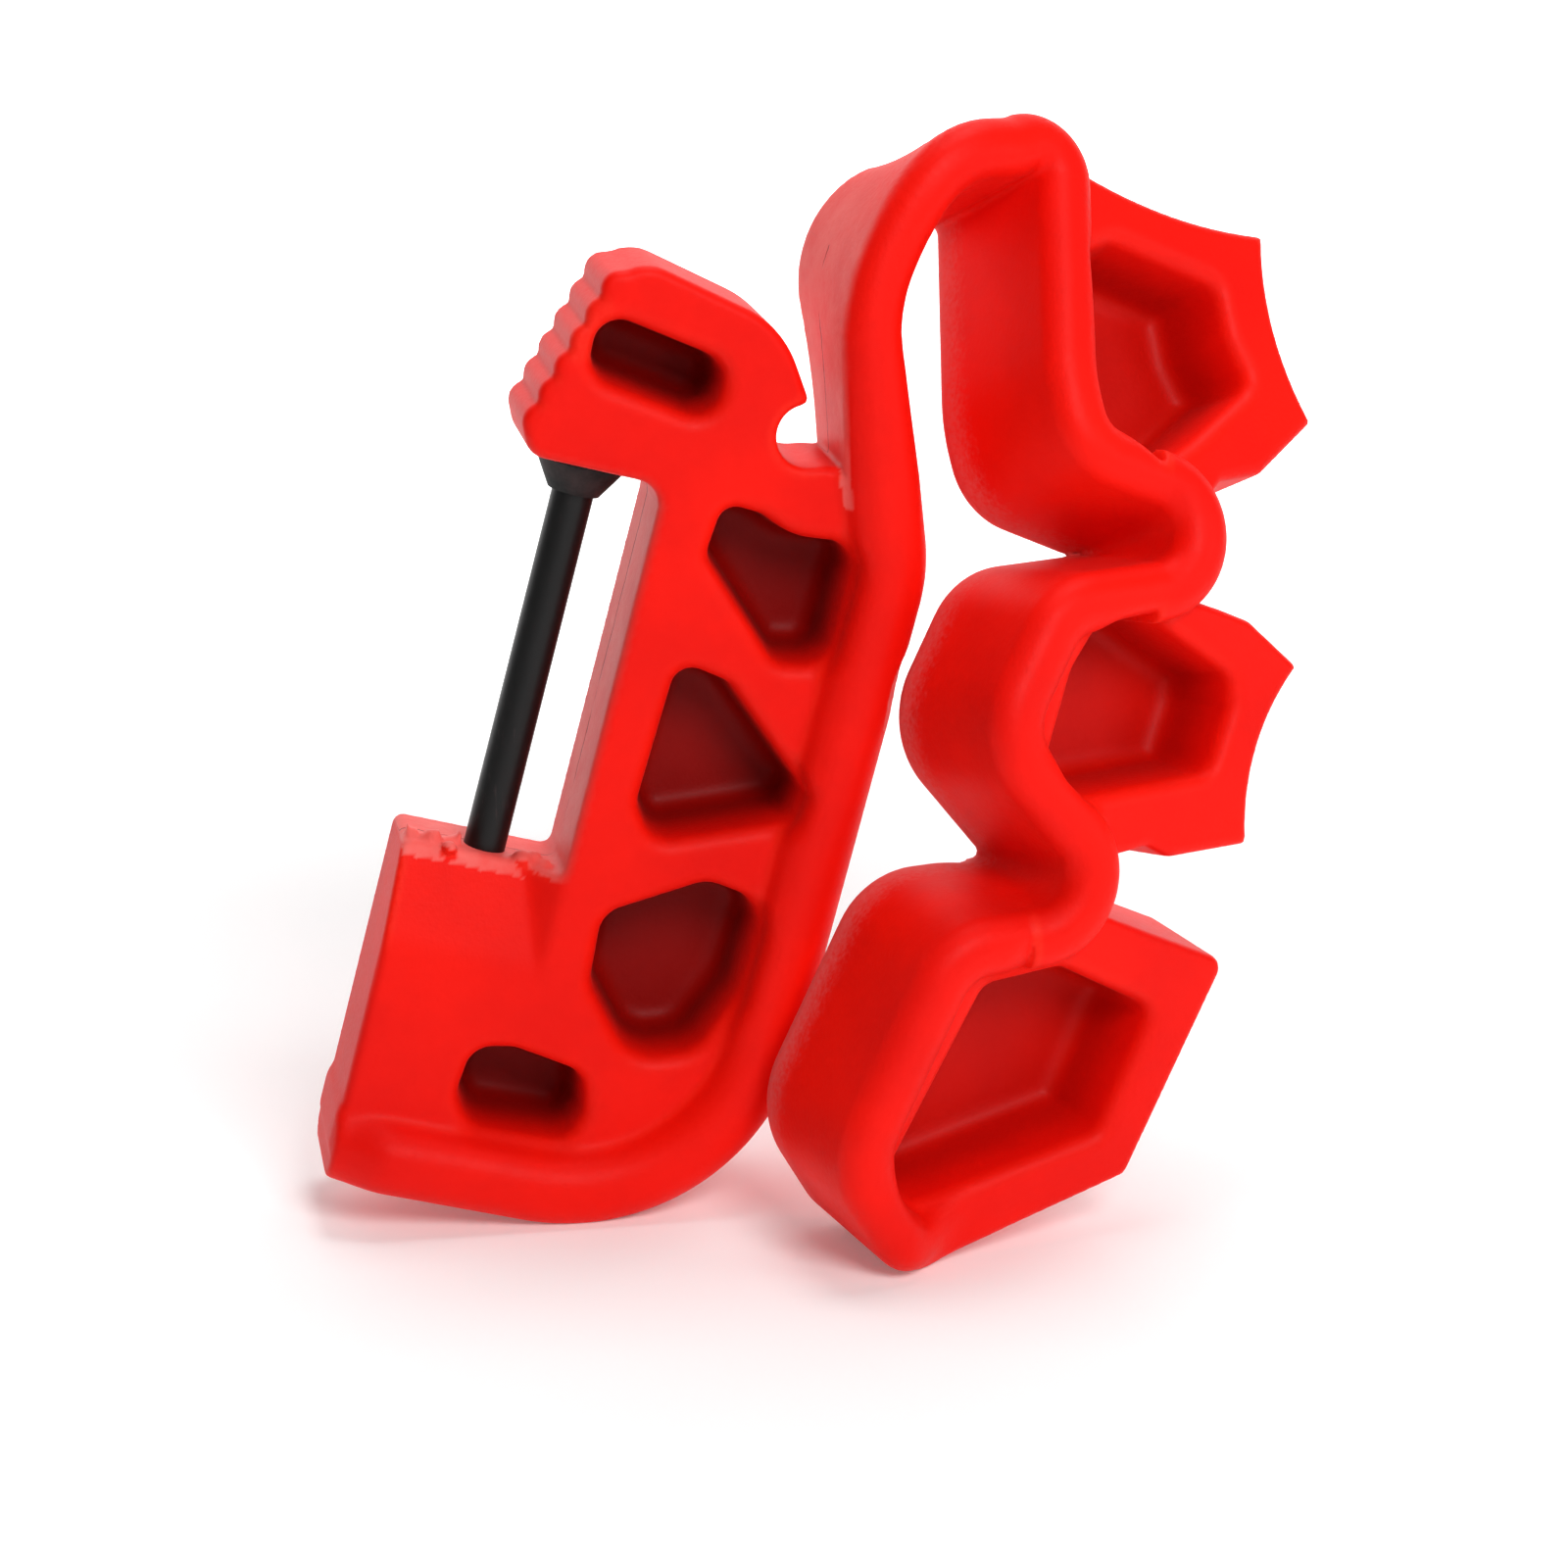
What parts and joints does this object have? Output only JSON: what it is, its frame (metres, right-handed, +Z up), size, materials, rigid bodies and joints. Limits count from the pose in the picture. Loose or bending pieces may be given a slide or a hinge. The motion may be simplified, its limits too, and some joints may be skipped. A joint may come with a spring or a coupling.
{
  "type": "folding foam grip block",
  "caption": "Hand-sized block of moulded foam that folds at flexible hinges: a C-shaped frame holding a steel bar, a neck strap, and hinged pads with relief pockets.",
  "frame": {"origin": "on the surface the folded block stands on, under the middle of its bounding box", "axes": "+Z up, +X from the bar towards the pads, -Y towards the side that the pockets open to"},
  "size_m": [0.2062, 0.104, 0.2225],
  "materials": {
    "foam": "matte stippled self-skinned foam",
    "black_coat": "semi-gloss black coating",
    "black_plastic": "matte",
    "steel": "plain"
  },
  "bodies": {
    "frame": {"frame_web": "foam", "frame_band": "foam", "grip_bar": "black_coat", "bar_collar": "black_plastic", "head_anchor": "steel", "foot_anchor": "steel", "neck_root": "foam"},
    "neck": {"neck_strap": "foam", "crest_fold": "foam"},
    "upper_pad": {"upper_pad_web": "foam", "upper_pad_band": "foam", "middle_fold": "foam"},
    "middle_pad": {"middle_pad_web": "foam", "middle_pad_band": "foam", "lower_fold": "foam"},
    "lower_pad": {"lower_pad_web": "foam", "lower_pad_band": "foam"}
  },
  "joints": [
    {"name": "neck_bend", "type": "hinge", "parent": "frame", "child": "neck", "pos_m": [0.00691, 0.01317, 0.16815], "axis": [0, -1, 0], "range_deg": [0, 26], "deforming": ["neck_root"]},
    {"name": "crest_open", "type": "hinge", "parent": "neck", "child": "upper_pad", "pos_m": [0.03917, 0.02431, 0.20686], "axis": [0.431, -0.7939, 0.4289], "range_deg": [0, 115], "deforming": ["crest_fold"]},
    {"name": "middle_open", "type": "hinge", "parent": "upper_pad", "child": "middle_pad", "pos_m": [0.06538, 0.00093, 0.13724], "axis": [0.1945, -0.9046, 0.3794], "range_deg": [0, 71.9], "deforming": ["middle_fold"]},
    {"name": "lower_open", "type": "hinge", "parent": "middle_pad", "child": "lower_pad", "pos_m": [0.04021, -0.02091, 0.0736], "axis": [-0.0522, -0.9732, 0.2241], "range_deg": [0, 32.6], "deforming": ["lower_fold"]}
  ]
}
